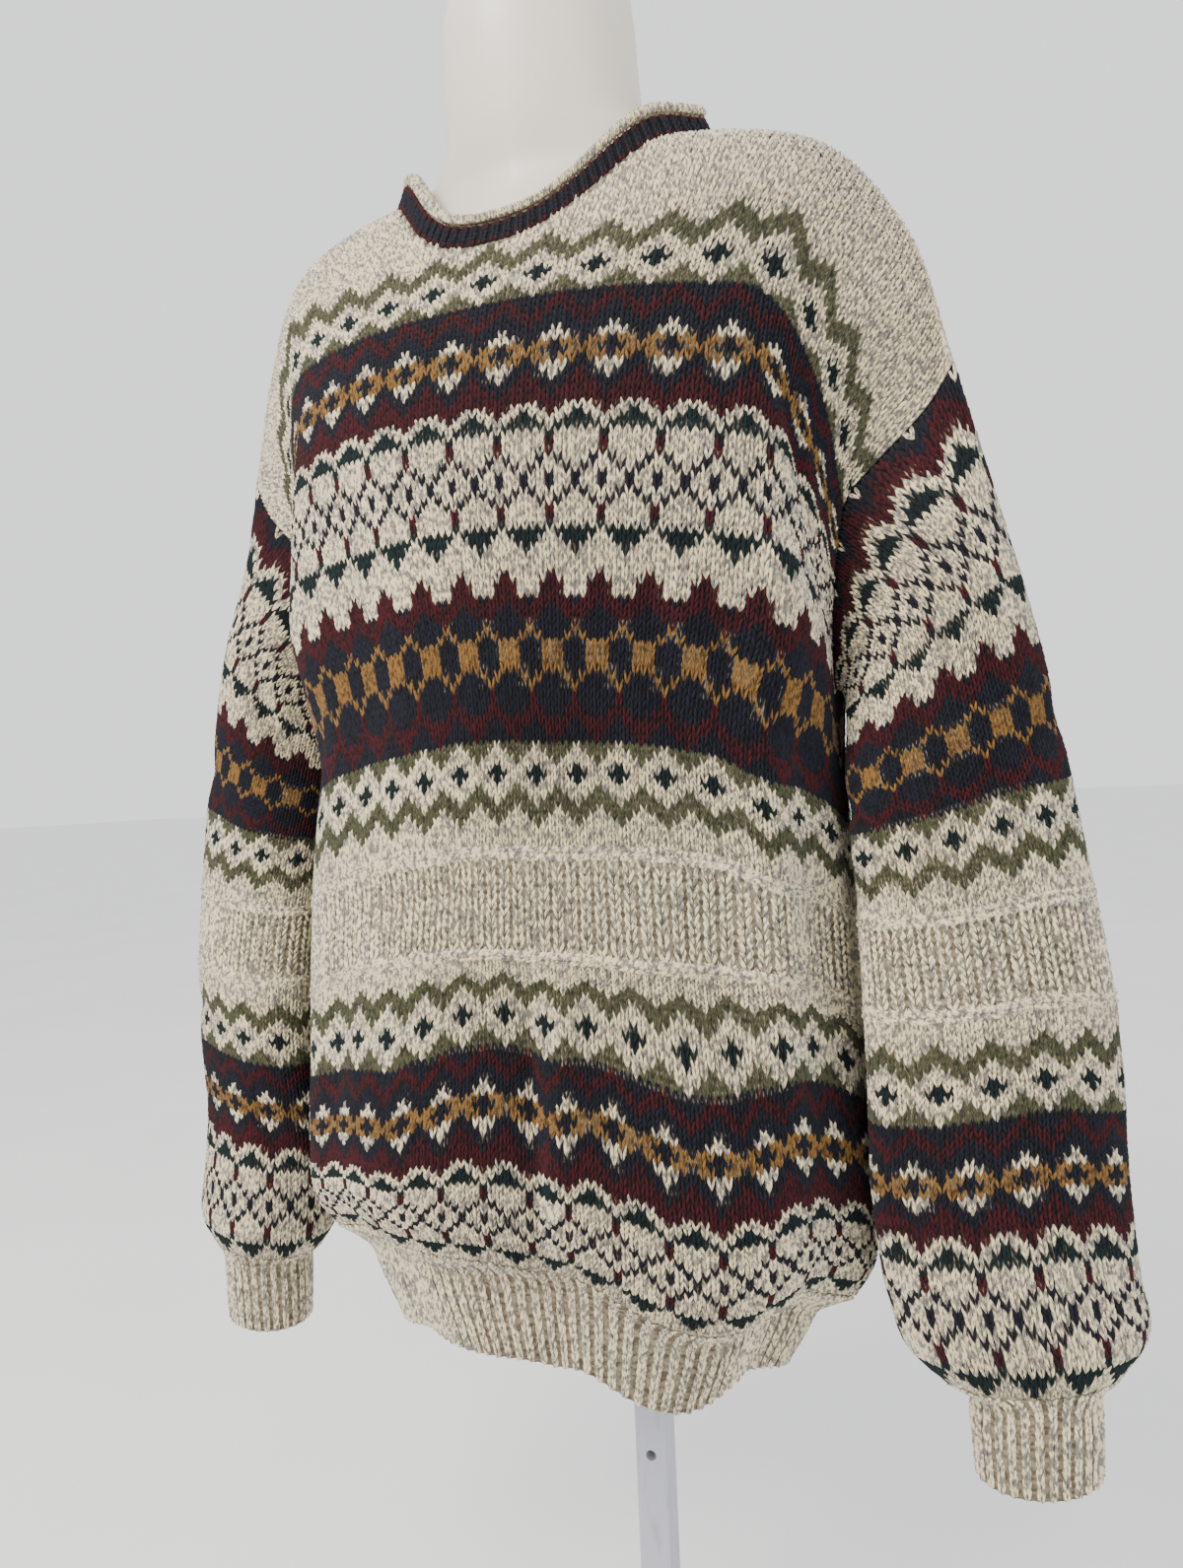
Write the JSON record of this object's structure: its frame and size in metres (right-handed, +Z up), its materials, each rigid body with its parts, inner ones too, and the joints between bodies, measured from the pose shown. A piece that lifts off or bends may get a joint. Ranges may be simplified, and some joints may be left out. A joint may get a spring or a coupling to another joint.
{
  "type": "fair isle sweater on a limbless dress form",
  "caption": "Patterned wool sweater with ribbed neck, cuffs and hem, worn by a limbless torso form on a square pole and round base.",
  "frame": {"origin": "middle of the base plate's underside, on the pole's axis", "axes": "+Z up, the sweater faces -Y, the wearer's left is +X"},
  "size_m": [0.5663, 0.3315, 1.072],
  "materials": {
    "yoke_knit": "stranded wool knit, cream with navy, burgundy, green and gold bands",
    "rib_knit": "ribbed wool knit, cream",
    "neck_knit": "ribbed wool knit, burgundy and navy",
    "form_plastic": "satin warm off-white",
    "stand_steel": "satin bluish grey"
  },
  "bodies": {
    "root": {"front_panel": "yoke_knit", "back_panel": "yoke_knit", "sleeve_left": "yoke_knit", "sleeve_right": "yoke_knit", "neckband_roll": "yoke_knit", "hem_rib_front": "rib_knit", "hem_rib_back": "rib_knit", "cuff_left": "rib_knit", "cuff_right": "rib_knit", "neckband": "neck_knit", "dress_form": "form_plastic", "form_flange": "stand_steel", "pole": "stand_steel", "pole_socket": "stand_steel", "base_plate": "stand_steel"}
  },
  "joints": []
}
